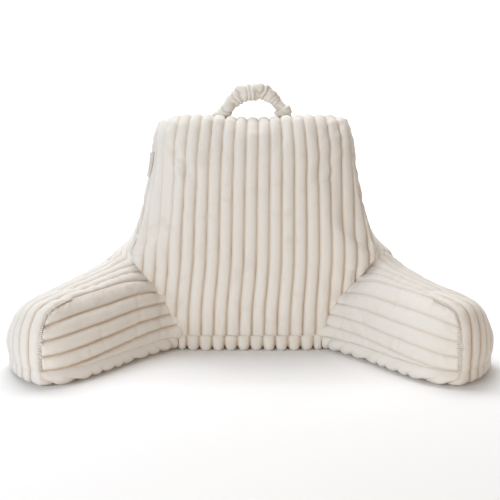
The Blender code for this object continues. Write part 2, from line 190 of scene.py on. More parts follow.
# the pillow's form, in millimetres
form = {
    "ribPitch": 24.5,
    "ribLean": 0.017,           # the front's ribs lean a little to the right
    "ribShift": 4.2,            # and their middle groove sits a little to the right
    "ribSpread": (0.963, 0.000145, 0.075),  # how closely they lie: low down, by height, at the top
    "spreadFrom": 55.0,         # the heights from which they draw closer
    "leanFrom": 60.0,           # and lean
    "sway": 6.5,                # the whole backrest leans to the right above the arms,
    "swayHeights": (70.0, 195.0),           # between these heights
    "panelFoot": 30.3,
    "top": 463.0,
    "coreLine": (2.0, 0.035),   # where the filling's middle stands over the floor, and its slope
    "coreHead": 400.0,
    "coreArm": 80.0,
    "footX": 146.0,
    "cornerX": 243.0,           # where the diagonal meets the side seam
    "cornerZ": 188.0,
    "rearCorner": (284.0, 132.0),           # where the arm's outer seam meets the back's
    "sideTop": 452.0,
    "topHalf": 187.83,
    "armStart": 138.0,          # height on the diagonal where the arm's top seam begins
    "bisector": (0.405, 0.914, 0.0),
    "swell": (3.0, 0.36),       # how squarely the backrest swells, across and in depth
    "rollStart": 0.865,         # the share of a rib's height that it rises before it rolls over
    "rollReach": (0.52, 0.22),
    "topDip": 14.0,             # the top edge sags between the handle's feet
    "dipWidth": 85.0,
    "topSeam": (45.0, 458.0),
    "topCorner": (20.0, 452.0),
    "stripSkew": 0.94,          # the strip's highest line lies a little towards its front seam
    "coreApart": 0.4,           # and its filling keeps clear of the panels'
    "shoulderLean": 0.55,
    "armLift": 1.2,             # the arm's top swells upwards more than outwards
    "armBulge": 9.0,
    "armFacing": (-0.74, -0.67, 0.0),       # where the right arm's inner panel faces
}

# height, front middle, front seam, front half width, rear middle, rear seam, rear half width
backrestRows = np.array((
    (30.3, -92, -88, 146, 88, 90, 222),
    (70, -104, -84, 166, 98, 90, 246),
    (132, -104, -77, 205, 103, 88, 284),
    (188, -97, -70, 243, 104, 86, 262),
    (238, -89, -56, 231, 103, 80, 236),
    (297, -79, -38, 216, 98, 68, 219),
    (357, -67, -24, 204, 93, 58, 205),
    (416, -52, -6, 196, 86, 44, 198),
    (452, -38, 19, 187.8, 74, 21, 187.8),
), float)
frontMid, frontSeam, frontHalf, rearMid, rearSeam, rearHalf = range(6)
footRow = backrestRows[0, 1:]

# the diagonal seam between backrest and arm: height, distance from the middle
diagonalRows = np.array((
    (30.3, 146), (53, 150), (76, 158), (96, 169), (116, 184), (138, 202), (188, 243),
), float)

# the arm's top seams, then its front end: inner x, y, z, outer x, y, z, crown between them
armTopRows = np.array((
    (202, -77, 138, 284, 88, 131.3, 40),
    (244, -141, 150, 328, 36, 123, 31),
    (288, -205, 149, 368, -32, 113, 23),
    (330, -264, 145.5, 408, -104, 103, 21),
    (362, -310, 134, 440, -172, 93, 26),
), float)
armEndRows = np.array((
    (373, -325, 108, 450, -190, 77, 27),
    (375, -333, 82, 459, -196, 61, 25),
    (375, -338, 55, 461, -195, 45, 24),
    (374, -340, 30.3, 457, -190, 30.3, 22),
), float)
armCoreEnd = np.array((362.0, -198.0, 74.0))

# the inner panel's foot, from the diagonal to the front end
armFootRows = np.array((
    (146, -88), (169, -113), (205, -153), (238, -199), (270, -248), (302, -292), (337, -326),
    (374, -340),
), float)

# beside the backrest: seam height, the filling's middle x and height, the gusset's crown
sideCoreRows = np.array((
    (132, 208, 80, 42),
    (160, 196, 122, 30),
    (188, 172, 166, 15),
    (238, 146, 226, 5),
    (297, 136, 290, 3),
    (357, 130, 345, 3),
    (416, 125, 385, 3),
    (452, 120, 400, 1),
), float)

seamSteps = {
    "ribPoints": 12,            # points across one rib
    "plainRows": 92,
    "rollRows": 30,
    "edgeRows": 14,             # over which the front's edge is drawn onto the side seam
    "side": 84,
    "shoulder": 26,
    "armTop": 110,
    "armEnd": 54,
    "armRibs": 5,
    "gussetRibs": 7,
}


def backrestAt(height):
    return smoothAlong(backrestRows[:, 0], backrestRows[:, 1:], height)


def coreY(height):
    start, slope = form["coreLine"]
    return start + slope * (height - form["panelFoot"])


def mitreHeight(x):
    return smoothAlong(diagonalRows[:, 1], diagonalRows[:, 0], x)


diagonalX = np.linspace(form["footX"], form["cornerX"], 1200)
diagonalZ = mitreHeight(diagonalX)


def diagonalPoint(height):
    x = np.interp(height, diagonalZ, diagonalX)
    return np.array((x, backrestAt(height)[frontSeam], height))


def mitreCore(height):
    # the filling's middle behind the diagonal rises less than the seam
    foot, bisector = form["panelFoot"], np.array(form["bisector"])
    low = foot + (height - foot) * ((form["coreArm"] - foot) / (form["rearCorner"][1] - foot))
    start = diagonalPoint(low)
    return start + bisector * (coreY(low) - start[1]) / bisector[1]


def faceY(x, height, side):
    row = backrestAt(height)
    mid, seam, half = row[..., side], row[..., side + 1], row[..., side + 2]
    across, deep = form["swell"]
    return seam + (mid - seam) * (1 - np.minimum(np.abs(x) / half, 1.0) ** across) ** deep


# places along the gusset: from the top down the side, round the shoulder, over the arm's top
# and down its end
strip = {"shoulder": 7, "armTop": 12, "armEnd": 22, "foot": 34}


def gussetStations():
    # each row holds the front seam, the rear seam, the filling's middle, the crown and the place
    side, bend = seamSteps["side"], seamSteps["shoulder"]
    heights = np.concatenate((
        np.linspace(form["sideTop"], form["cornerZ"], side + 1)[:-1],
        np.linspace(mitreHeight(form["cornerX"]), form["armStart"], bend + 1)))
    table = []
    for k, z in enumerate(heights):
        row = backrestAt(z)
        coreX, coreZ, crown = smoothAlong(sideCoreRows[:, 0], sideCoreRows[:, 1:], z)
        if k < side:
            x, place = row[frontHalf], strip["shoulder"] * k / side
        else:
            x = diagonalPoint(z)[0]
            place = strip["shoulder"] + (strip["armTop"] - strip["shoulder"]) * (k - side) / bend
        table.append((x, row[frontSeam], z, row[rearHalf], row[rearSeam], z,
                      coreX, coreY(coreZ), coreZ, crown, place))
    start = mitreCore(form["armStart"])
    table[-1] = (*table[-1][:6], *start, *table[-1][9:])
    seamRows = np.vstack((armTopRows, armEndRows))
    corner = len(armTopRows) - 1
    foot = np.array((*armCoreEnd[:2], form["panelFoot"]))
    for low, high, count, coreFrom, coreTo, first, last in (
            (0, corner, seamSteps["armTop"], start, armCoreEnd, strip["armTop"], strip["armEnd"]),
            (corner, len(seamRows) - 1, seamSteps["armEnd"], armCoreEnd, foot, strip["armEnd"],
             strip["foot"])):
        curve = roundCurve(seamRows, np.linspace(low, high, count + 1))
        for k, row in enumerate(curve[1:], start=1):
            share = k / count
            core = coreFrom + (coreTo - coreFrom) * share
            table.append((*row[:6], *core, row[6], first + (last - first) * share))
    return np.array(table)


stations = gussetStations()
fronts, rears, cores = stations[:, 0:3], stations[:, 3:6], stations[:, 6:9]
crowns, places = stations[:, 9], stations[:, 10]
sideCount = seamSteps["side"]
armFirst = sideCount + seamSteps["shoulder"]
armLast = armFirst + seamSteps["armTop"]

# Every panel is a grid of points with the filling's middle behind it, and what its ribs need:
# phase counts ribs across the face, and along is the way walked on a rib.
rollEnding = {frontMid: (0.93, -0.37), rearMid: (-0.98, 0.2)}     # how it comes to the top seam


def rollOver(x, low, side):
    # the column's turn over the top, from height low to the seam behind the edge
    edge = np.minimum(np.abs(x) / form["topHalf"], 1.0) ** 5
    seam = np.array(form["topSeam"]) * (1 - edge) + np.array(form["topCorner"]) * edge
    seam[1] -= form["topDip"] * math.exp(-(x / form["dipWidth"]) ** 2) * (1 - edge)
    before, start = [np.array((float(faceY(x, z, side)), z)) for z in (low - 4, low)]
    longest, lost = form["rollReach"]
    reach = np.linalg.norm(seam - start) * (longest - lost * edge)
    t = np.arange(1, seamSteps["rollRows"] + 1)[:, None] / seamSteps["rollRows"]
    curve = sweep(start, start + unit(start - before) * reach,
                  seam - np.array(rollEnding[side]) * reach, seam, t)
    return np.column_stack((np.full(len(curve), x), curve))


def backrestFace(side):
    # columns from the middle to the side seam, each from its foot up and over, or to the seam
    isFront = side == frontMid
    pitch = form["ribPitch"] / seamSteps["ribPoints"]
    plain, roll, share = seamSteps["plainRows"], seamSteps["rollRows"], form["rollStart"]
    lowest, rearFoot = form["panelFoot"], footRow[rearHalf]
    if isFront:
        xs = np.linspace(0.0, form["cornerX"], int(round(form["cornerX"] / pitch)) + 1)
        seam = fronts[:sideCount + 1]
        headZ = np.interp(xs, seam[:, 0], seam[:, 2])
        footZ = np.where(xs > form["footX"], mitreHeight(xs), lowest)
        headZ[-1] = footZ[-1]
    else:
        inside = np.arange(0.0, form["topHalf"], pitch)
        seam = rears[:armFirst + 1]
        xs = np.append(inside, seam[:, 0])
        headZ = np.append(np.full(len(inside), form["top"]), seam[:, 2])
        cornerX, cornerZ = form["rearCorner"]
        outside = np.clip((xs - rearFoot) / (cornerX - rearFoot), 0.0, 1.0)
        footZ = lowest + outside * (cornerZ - lowest)
        footZ[-1] = headZ[-1]
    columns, inner = [], []
    for k, x in enumerate(xs):
        foot, head = footZ[k], headZ[k]
        rolls = x < form["topHalf"] - 0.01
        if rolls:
            head, coreZ = form["top"], form["coreHead"]
            coreX = x * sideCoreRows[-1, 1] / form["topHalf"]
        else:
            coreX, coreZ = smoothAlong(sideCoreRows[:, 0], sideCoreRows[:, 1:3], head)
        heights = foot + (head - foot) * share * np.linspace(0, 1, plain + 1)
        if not rolls:
            turn = np.sin(np.arange(1, roll + 1) / roll * math.pi / 2)
            heights = np.append(heights, foot + (head - foot) * (share + (1 - share) * turn))
        y = faceY(x, heights, side)
        if isFront and not rolls:
            missing = np.interp(x, seam[:, 0], seam[:, 1]) - y[-1]
            drawn = len(y) - seamSteps["edgeRows"]
            y = y + missing * easeIn(np.arange(len(y)), drawn, len(y) - 1)
        column = np.stack((np.full(len(y), x), y, heights), axis=1)
        if rolls:
            column = np.vstack((column, rollOver(x, heights[-1], side)))
        elif not isFront:
            column[-1] = (x, seam[k - len(inside), 1], head)
        if foot <= lowest + 1e-6:
            reach = form["footX"] if isFront else rearFoot
            coreLow = mitreCore(lowest) * (min(x / reach, 1.0), 1, 1)
        else:
            coreLow = mitreCore(min(foot, form["armStart"] + 0.7))
        coreTop = np.array((coreX, coreY(coreZ), coreZ))
        columns.append(column)
        inner.append(coreLow + (coreTop - coreLow) * np.linspace(0, 1, len(column))[:, None])
    return np.array(columns), np.array(inner)


def mirroredHalf(grid):
    twin = grid[::-1].copy()
    twin[..., 0] *= -1
    return np.concatenate((twin[:-1], grid))


def fourSided(foot, head, start, end, bulge=(0, 0, 0)):
    # a face between four seams, swollen in its middle
    u = np.linspace(0, 1, len(foot))[:, None, None]
    v = np.linspace(0, 1, len(start))[None, :, None]
    foot, head = foot[:, None, :], head[:, None, :]
    start, end = start[None, :, :], end[None, :, :]
    grid = ((1 - v) * foot + v * head + (1 - u) * start + u * end
            - (1 - u) * (1 - v) * foot[:1] - u * (1 - v) * foot[-1:]
            - (1 - u) * v * head[:1] - u * v * head[-1:])
    return grid + bulge * np.maximum(np.sin(math.pi * u) * np.sin(math.pi * v), 0.0) ** 0.6


def armFace(isInner):
    seam = fronts if isInner else rears
    head, end = seam[armFirst:armLast + 1], seam[armLast:][::-1]
    coreHead, coreFront = cores[armFirst:armLast + 1], cores[armLast:][::-1]
    lowest, coreLow = form["panelFoot"], mitreCore(form["panelFoot"])
    u = np.linspace(0, 1, len(head))
    v = np.linspace(0, 1, seamSteps["armRibs"] * seamSteps["ribPoints"] + 1)
    place = np.linspace(0, 1, len(end))
    end, coreFront = resampled(v, place, end), resampled(v, place, coreFront)
    if isInner:
        start = np.array([diagonalPoint(z) for z in lowest + (head[0][2] - lowest) * v])
        line = roundCurve(armFootRows, np.linspace(0, len(armFootRows) - 1, 8 * len(head)))
        walked = walkedAlong(line)
        foot = resampled(u * walked[-1], walked, line)
        foot = np.column_stack((foot, np.full(len(head), lowest)))
    else:
        low = np.array((footRow[rearHalf], footRow[rearSeam], lowest))
        start = low + (head[0] - low) * v[:, None]
        foot = low + (end[0] - low) * u[:, None]
    coreStart = coreLow + (coreHead[0] - coreLow) * v[:, None]
    coreFoot = coreLow + (coreFront[0] - coreLow) * u[:, None]
    outward = np.array(form["armFacing"]) * (1 if isInner else -1)
    face = fourSided(foot, head, start, end, outward * form["armBulge"])
    return face, fourSided(coreFoot, coreHead, coreStart, coreFront)


shoulder = {
    "above": 30,                # rows above the corner where the sweep begins
    "along": 34,                # rows along the arm where it ends
    "leaving": 72.0,
    "joining": 48.0,
    "leanSpread": 2.5,          # over how many places the strip leans outwards
    "liftPlaces": ((10, 13), (17, 23)),     # where the arm's top swells upwards
    "straightPlaces": ((7, 10), (12, 13)),  # where the arm's ribs run straight on,
    "straightReach": (75.0, 45.0),          # and how far from the front seam
    "calm": 0.96,               # how far the ribs sink there
    "calmPlace": (7.8, 3.9),    # the middle of the calm stretch, and its spread
    "calmEdge": (0.14, 0.15),   # its soft edge along the front seam, here and by the arm
    "calmEdgePlaces": (8.0, 12.0),
}


def easyShoulder(ridge):
    # the strip's highest line sweeps from the backrest's side onto the arm in one easy curve
    low, high = sideCount - shoulder["above"], armFirst + shoulder["along"]
    leaving, joining = unit(ridge[low] - ridge[low - 4]), unit(ridge[high + 4] - ridge[high])
    t = np.linspace(0, 1, high - low + 1)[:, None]
    swept = ridge.copy()
    swept[low:high + 1] = sweep(ridge[low], ridge[low] + leaving * shoulder["leaving"],
                                ridge[high] - joining * shoulder["joining"], ridge[high], t)
    return swept


def gussetFace():
    across = seamSteps["gussetRibs"] * seamSteps["ribPoints"] + 1
    w = np.linspace(0, 1, across)[None, :, None]
    between = (fronts + rears) / 2
    outward = unit(between - cores)
    lean = np.exp(-((places - strip["armTop"]) / shoulder["leanSpread"]) ** 2)
    outward[:, 0] += form["shoulderLean"] * lean
    outward[:, 2] += form["armLift"] * comesAndGoes(places, *shoulder["liftPlaces"])
    outward = unit(outward)
    ridge = easyShoulder(between + outward * crowns[:, None])
    rise = (ridge - between)[:, None, :] * (1 - np.abs(2 * w ** form["stripSkew"] - 1) ** 2.0)
    face = fronts[:, None, :] + (rears - fronts)[:, None, :] * w + rise
    core = np.repeat((cores + outward * form["coreApart"])[:, None, :], across, axis=1)
    return face, core


def gussetPhase(face):
    # ribs are counted from the front seam; by the shoulder the arm's run straight on and end
    # on the diagonal
    across = arcAlong(face, 1)
    start = face[armFirst]
    ahead = unit(face[armFirst + seamSteps["ribPoints"], 0] - start[0])
    reach = unit(start[seamSteps["ribPoints"]] - start[0])
    upwards = unit(reach - ahead * (reach @ ahead))
    height = (start - start[0]) @ upwards
    rising = int(np.argmax(height)) + 1
    straight = np.interp((face - start[0]) @ upwards, height[:rising], across[armFirst, :rising])
    share = comesAndGoes(places, *shoulder["straightPlaces"])[:, None]
    share = share * easeIn(across, *shoulder["straightReach"])
    return (across + (straight - across) * share) / form["ribPitch"]


# the cloth, simulated: each panel is held along its seams, cut a little too large, and blown
# up by the filling
cloth = {
    "cell": 7.0,                # size of the simulated squares
    "frames": 18,
    "quality": 6,
    "weight": 0.3,
    "pressure": 3.0,
    "spare": 0.010,             # share of cloth more than the panel needs
    "tension": 40.0,
    "bending": 0.6,
    "inset": 3.5,               # how much smaller the pads start
    "reach": 6.0,               # the furthest the cloth may travel
}


def everyFew(face, axis):
    steps = np.linalg.norm(np.diff(face, axis=axis), axis=2).mean()
    stride = max(1, int(round(cloth["cell"] / steps)))
    return np.unique(np.append(np.arange(0, face.shape[axis], stride), face.shape[axis] - 1))


def clothPanel(name, face):
    columns, rows = everyFew(face, 0), everyFew(face, 1)
    u = np.linspace(0, 1, face.shape[0])[:, None, None]
    v = np.linspace(0, 1, face.shape[1])[None, :, None]
    inset = np.maximum(np.sin(math.pi * u) * np.sin(math.pi * v), 0.0) ** 0.5 * cloth["inset"]
    outward = unit(np.cross(np.gradient(face, axis=0), np.gradient(face, axis=1)))
    start = face - outward * inset
    coarse = start[columns][:, rows].reshape(-1, 3)
    index = np.arange(len(coarse)).reshape(len(columns), len(rows))
    panel = newObject(name, coarse, [], gridFaces(index))
    weldPiece(panel)
    rest = np.zeros(len(panel.data.vertices) * 3, np.float32)
    panel.data.vertices.foreach_get("co", rest)
    rest = rest.reshape(-1, 3)
    tree = searchTree(rest)
    spots = np.array([tree.find(point)[1] for point in coarse * mm])   # each point's own vertex
    rim = np.concatenate((index[0], index[-1], index[:, 0], index[:, -1]))
    seams = panel.vertex_groups.new(name="seams")
    seams.add(np.unique(spots[rim]).tolist(), 1.0, "REPLACE")
    modifier = panel.modifiers.new("cloth", "CLOTH")
    weave = modifier.settings
    weave.quality = cloth["quality"]
    weave.mass = cloth["weight"]
    weave.tension_stiffness = weave.compression_stiffness = cloth["tension"]
    weave.shear_stiffness = cloth["tension"] / 3
    weave.bending_stiffness = cloth["bending"]
    weave.vertex_group_mass = "seams"
    weave.use_pressure = True
    weave.uniform_pressure_force = cloth["pressure"]
    weave.shrink_min = weave.shrink_max = -cloth["spare"]
    weave.effector_weights.gravity = 0.0
    modifier.collision_settings.use_collision = False
    modifier.point_cache.frame_start = 1
    modifier.point_cache.frame_end = cloth["frames"]
    return panel, columns, rows, start, spots, rest


def blownUp(faces):
    # all panels are simulated together; what comes back are the same grids, puffed and creased
    sheets = {name: clothPanel(name, face) for name, face in faces.items()}
    scene = bpy.context.scene
    for frameNumber in range(1, cloth["frames"] + 1):
        scene.frame_set(frameNumber)
    graph = bpy.context.evaluated_depsgraph_get()
    puffed = {}
    for name, (panel, columns, rows, start, spots, rest) in sheets.items():
        shaped = np.zeros(rest.size, np.float32)
        panel.evaluated_get(graph).data.vertices.foreach_get("co", shaped)
        moved = ((shaped.reshape(-1, 3) - rest) / mm)[spots].reshape(len(columns), len(rows), 3)
        size = np.linalg.norm(moved, axis=2, keepdims=True)
        moved *= np.tanh(size / cloth["reach"]) * cloth["reach"] / np.maximum(size, 1e-6)
        for kept, count in ((columns, start.shape[0]), (rows, start.shape[1])):
            # first along the columns, then, turned round, along the rows
            at = np.interp(np.arange(count), kept, np.arange(len(kept)))
            moved = roundCurve(moved.reshape(len(kept), -1), at).reshape(count, -1, 3)
            moved = moved.transpose(1, 0, 2)
        puffed[name] = start + moved
        print("cloth", name, len(columns), len(rows), "moved up to %.1f mm" % size.max())
        mesh = panel.data
        bpy.data.objects.remove(panel)
        bpy.data.meshes.remove(mesh)
    scene.frame_set(1)
    return puffed


def swayed(points):
    points = np.array(points, float)
    points[:, 0] += form["sway"] * easeIn(points[:, 2], *form["swayHeights"])
    return points


def meshPiece(name, points, faces, fields):
    # fields are floats by point; ribFlow, the pattern's own map, is made from two of them
    piece = newObject(name, swayed(points), [], faces)
    mesh = piece.data
    for field, values in fields.items():
        layer = mesh.attributes.new(field, "FLOAT", "POINT")
        layer.data.foreach_set("value", np.asarray(values, np.float32))
    mesh.validate()
    mesh.update()
    mesh.shade_smooth()
    flow = mesh.uv_layers.new(name="ribFlow")
    corners = np.zeros(len(mesh.loops), int)
    mesh.loops.foreach_get("vertex_index", corners)
    across, along = np.asarray(fields["ribPhase"]), np.asarray(fields["ribAlong"])
    uv = np.stack((across[corners], along[corners] * 0.01), axis=1)
    flow.data.foreach_set("uv", uv.astype(np.float32).ravel())
    return piece


plush = {
    "ribHeight": 6.4,           # how far a rib stands off its grooves
    "roundness": 2.3,           # higher is flatter on top, with narrower grooves
    "wander": 0.07,             # ribs wander sideways by this share of their pitch
    "softness": 0.9,            # uneven filling behind the cloth
    "pucker": 1.5,              # crimps where the cloth is sewn down,
    "puckerReach": 11.0,        # and how far they go on from the seam
    "seed": 4.0,
    "floor": 0.3,               # nothing hangs lower than this over the floor
}


def ribProfile(phase):
    across = np.abs((phase - np.floor(phase)) * 2 - 1)
    return (1 - across ** plush["roundness"]) ** 0.62


def seamFields(face, rims):
    # how far the ribs stand up and how near a seam is; a rim has its side of the grid, the way
    # over which the ribs sink, and the share of them that is left
    sides = {"foot": face[:, 0], "head": face[:, -1], "first": face[0], "last": face[-1]}
    lift, near = np.ones(face.shape[:2]), np.zeros(face.shape[:2])
    for side, fade, kept in rims:
        tree = searchTree(sides[side])
        distance = np.array([tree.find(point)[2] for point in face.reshape(-1, 3)])
        distance = distance.reshape(face.shape[:2])
        share = np.clip(distance / fade, 0.0, 1.0)
        lift *= kept + (1 - kept) * np.sqrt(1 - (1 - share) ** 2)
        near = np.maximum(near, np.exp(-distance / plush["puckerReach"]))
    return lift, near


def rimLoop(columns, rows):
    loop = [(i, 0) for i in range(columns)]
    loop += [(columns - 1, j) for j in range(1, rows)]
    loop += [(i, rows - 1) for i in range(columns - 2, -1, -1)]
    loop += [(0, j) for j in range(rows - 2, 0, -1)]
    return tuple(np.array(loop).T)


def filledPiece(name, face, core, panel):
    # the panel's face, a wall from its rim to the middle of the filling, and an end that closes it
    lift, near = seamFields(face, panel["rims"])
    lift = lift * (1 - panel["calm"])
    index = np.arange(lift.size).reshape(lift.shape)
    loop = rimLoop(*lift.shape)
    rim, inner = index[loop], core[loop]
    wall = np.arange(len(rim)) + lift.size
    afterRim, afterWall = np.roll(rim, -1), np.roll(wall, -1)
    points = np.vstack((face.reshape(-1, 3), inner))
    faces = gridFaces(index)
    faces += np.stack((afterRim, rim, wall, afterWall), axis=1).tolist()
    middle = [0.5] * panel["hasMiddle"]
    if middle:
        points = np.vstack((points, inner.mean(axis=0)))
        faces += [(a, b, len(points) - 1) for a, b in zip(afterWall.tolist(), wall.tolist())]
    plain = np.zeros(len(points) - lift.size)
    piece = meshPiece(name, points, faces, {
        "ribPhase": np.concatenate((panel["phase"].ravel(), panel["phase"][loop], middle)),
        "ribAlong": np.concatenate((panel["along"].ravel(), panel["along"][loop], middle)),
        "ribLift": np.append(lift.ravel(), plain),
        "seamNear": np.append(near.ravel(), plain)})
    weldPiece(piece)
    return piece


def startTree(name, sizes, seedKind):
    # a geometry tree with a float input for each size; what it is given comes back by name
    tree = bpy.data.node_groups.new(name, "GeometryNodeTree")
    kinds = {"Geometry": "NodeSocketGeometry", **{size: "NodeSocketFloat" for size in sizes},
             "Seed": seedKind, "Finish": "NodeSocketMaterial"}
    for socket, kind in kinds.items():
        tree.interface.new_socket(socket, in_out="INPUT", socket_type=kind)
    tree.interface.new_socket("Geometry", in_out="OUTPUT", socket_type="NodeSocketGeometry")
    source = tree.nodes.new("NodeGroupInput")
    return Wire(tree), {socket: Wire(tree, source.outputs[socket]) for socket in kinds}


def endTree(g, geometry, finish):
    real = g.node("GeometryNodeRealizeInstances", None, {"Geometry": geometry})
    done = g.node("GeometryNodeSetMaterial", None, {"Geometry": real, "Material": finish})
    ending = g.tree.nodes.new("NodeGroupOutput")
    g.tree.links.new(done.socket, ending.inputs["Geometry"])
    return g.tree


def noise(where, shift, scale, detail=2.0, roughness=0.5):
    return where.node("ShaderNodeTexNoise", {"noise_dimensions": "4D"},
                      {"Vector": where, "W": shift, "Scale": scale, "Detail": detail,
                       "Roughness": roughness})


def acrossRib(phase):
    # 0 on the rib's crown, 1 in the groove
    return abs(phase.maths("FRACT", phase) * 2.0 - 1.0)


def ribTree():
    g, given = startTree("raiseRibs", ("Rib Height", "Roundness", "Wander", "Softness", "Pucker"),
                         "NodeSocketFloat")
    where, seed = g.node("GeometryNodeInputPosition"), given["Seed"]

    def field(name):
        return g.node("GeometryNodeInputNamedAttribute", {"data_type": "FLOAT"}, {"Name": name})

    lift = field("ribLift")
    phase = field("ribPhase") + (noise(where, seed, 5.0, 1.0) - 0.5) * 2.0 * given["Wander"]
    profile = (1.0 - acrossRib(phase) ** given["Roundness"]) ** 0.62
    swell = 1.0 + (noise(where, seed + 7.0, 9.0) - 0.5) * 0.5
    rise = profile * given["Rib Height"] * lift * swell
    rise = rise + (noise(where, seed + 3.0, 16.0) - 0.5) * given["Softness"] * lift
    crimps = (noise(where, seed + 11.0, 60.0, 1.0) - 0.5) * 2.0 * given["Pucker"]
    rise = rise + crimps * field("seamNear") * lift
    offset = g.node("ShaderNodeVectorMath", {"operation": "SCALE"},
                    {"Vector": g.node("GeometryNodeInputNormal"), "Scale": rise})
    moved = g.node("GeometryNodeSetPosition", None,
                   {"Geometry": given["Geometry"], "Offset": offset})
    x, y, z = [g.node("ShaderNodeSeparateXYZ", None, {"Vector": where}, out=axis)
               for axis in "XYZ"]
    rested = g.node("ShaderNodeCombineXYZ", None,
                    {"X": x, "Y": y, "Z": g.maths("MAXIMUM", z, plush["floor"] * mm)})
    moved = g.node("GeometryNodeSetPosition", None, {"Geometry": moved, "Position": rested})
    return endTree(g, moved, given["Finish"])


def runTree(piece, tree, inputs):
    # the tree's inputs are set by identifier, and its result is kept as a plain mesh
    modifier = piece.modifiers.new(tree.name, "NODES")
    modifier.node_group = tree
    identifiers = {item.name: item.identifier for item in tree.interface.items_tree
                   if item.item_type == "SOCKET" and item.in_out == "INPUT"}
    for name, value in inputs.items():
        modifier[identifiers[name]] = value
    bpy.context.view_layer.update()
    graph = bpy.context.evaluated_depsgraph_get()
    made = bpy.data.meshes.new_from_object(piece.evaluated_get(graph), depsgraph=graph)
    piece.modifiers.remove(modifier)
    old = piece.data
    piece.data = made
    made.name = piece.name
    made.shade_smooth()
    bpy.data.meshes.remove(old)


pile = {
    "crown": (0.70, 0.675, 0.635),     # ivory on top of the ribs
    "groove": (0.50, 0.40, 0.31),      # warmer cloth between them, darkened further with painted shade for the grooves' depth
    "crushed": (0.60, 0.55, 0.49),
    "shade": (0.75, 1.30),             # how strong the painted groove shade is, high up and low down: darker towards the floor
    "shadeHeights": (0.40, 0.10),
    "grooveEdge": 6.0,                 # higher draws the grooves narrower
    "streaks": 0.14,                   # fine lines along the ribs, lighter and darker
    "streakScale": (26.0, 2.2, 1.0),
    "streakRoughness": 0.12,
    "crushedShare": 0.35,              # how clearly the crushed patches show
    "crushedScale": 26.0,
    "roughness": 0.88,
    "specular": 0.12,
    "sheen": 0.35,
    "sheenRoughness": 0.45,
    "sheenTint": (1.0, 0.97, 0.93),
    "nap": 0.9,                        # height of the pile's grain, in millimetres
    "grainScales": (420.0, 150.0),     # fine and coarse
}


def newMaterial(name, constants):
    finish = bpy.data.materials.new(name)
    finish.use_nodes = True
    shader = finish.node_tree.nodes["Principled BSDF"]
    for socket, value in constants.items():
        shader.inputs[socket].default_value = value
    return finish, shader, Wire(finish.node_tree)


def feed(shader, wires):
    for socket, wire in wires.items():
        wire.tree.links.new(wire.socket, shader.inputs[socket])


def mixed(factor, low, high):
    return factor.node("ShaderNodeMix", {"data_type": "RGBA"}, {0: factor, 6: low, 7: high}, out=2)


def plushMaterial():
    finish, shader, m = newMaterial("ribbedPlush", {
        "Sheen Weight": pile["sheen"], "Sheen Roughness": pile["sheenRoughness"],
        "Sheen Tint": (*pile["sheenTint"], 1), "Specular IOR Level": pile["specular"]})
    where = m.node("ShaderNodeTexCoord", out="Object")
    flow = m.node("ShaderNodeUVMap", {"uv_map": "ribFlow"})
    lift = m.node("ShaderNodeAttribute", {"attribute_name": "ribLift"}, out="Fac")
    phase = m.node("ShaderNodeSeparateXYZ", None, {"Vector": flow}, out="X")
    phase = phase + (noise(where, plush["seed"], 5.0, 1.0) - 0.5) * (2.0 * plush["wander"])
    above = m.node("ShaderNodeSeparateXYZ", None, {"Vector": where}, out="Z")
    # painted shade: the grooves are painted darker lower down, towards the floor
    (high, low), (highShade, lowShade) = pile["shadeHeights"], pile["shade"]
    shade = m.node("ShaderNodeMapRange", None, {
        "Value": above, "From Min": high, "From Max": low, "To Min": highShade,
        "To Max": lowShade})
    # painted shade in the grooves, over the cloth's warmer tone there: weaker where the ribs sink
    grooveClothAndShade = (acrossRib(phase) ** pile["grooveEdge"]) * (0.06 + lift * 0.94) * shade
    lengthways = m.node("ShaderNodeMapping", None, {"Vector": flow, "Scale": pile["streakScale"]})
    streaks = noise(lengthways, 1.0, 1.0, 3.0, 0.6)
    crushed = m.node("ShaderNodeMapRange", {"interpolation_type": "SMOOTHSTEP"}, {
        "Value": noise(where, 5.0, pile["crushedScale"], 3.0, 0.6),
        "From Min": 0.52, "From Max": 0.70})
    base = mixed(grooveClothAndShade, (*pile["crown"], 1), (*pile["groove"], 1))
    base = mixed(crushed * pile["crushedShare"], base, (*pile["crushed"], 1))
    colour = m.node("ShaderNodeHueSaturation", None,
                    {"Color": base, "Value": (1.0 - pile["streaks"] / 2) + streaks * pile["streaks"]})
    rough = pile["roughness"] + (streaks - 0.5) * pile["streakRoughness"]
    fine, coarse = pile["grainScales"]
    grain = noise(where, 0.0, fine, 2.0, 0.6) * 0.5 + noise(where, 3.0, coarse) * 0.6
    relief = m.node("ShaderNodeBump", None, {
        "Height": grain + streaks * 0.5, "Strength": 0.55, "Distance": pile["nap"] * mm})
    feed(shader, {"Base Color": colour, "Roughness": rough, "Normal": relief})
    return finish


raising = ribTree()
panelPlush = plushMaterial()


def raiseRibs(piece, **changes):
    sizes = {**plush, **changes}
    runTree(piece, raising, {
        "Rib Height": sizes["ribHeight"] * mm, "Roundness": sizes["roundness"],
        "Wander": sizes["wander"], "Softness": sizes["softness"] * 2 * mm,
        "Pucker": sizes["pucker"] * mm, "Seed": sizes["seed"], "Finish": panelPlush})


def finishPiece(piece, node):
    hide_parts(node)
    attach(piece, "root")
    print("made", piece.name, len(piece.data.polygons))


# Each panel's dictionary says which node it stands for, its grids, and how its ribs sink.
backrest = {
    "rims": (("foot", 2.0, 0.66), ("head", 3.0, 0), ("first", 3.0, 0), ("last", 3.0, 0)),
    "calm": 0.75,               # the cloth is smooth at its upper left, where it is fullest:
    "calmSide": (148, 180),     # by distance to the left,
    "calmHeight": (165, 235),   # by height,
    "calmSeam": (2, 14),        # and by columns from the side seam
}


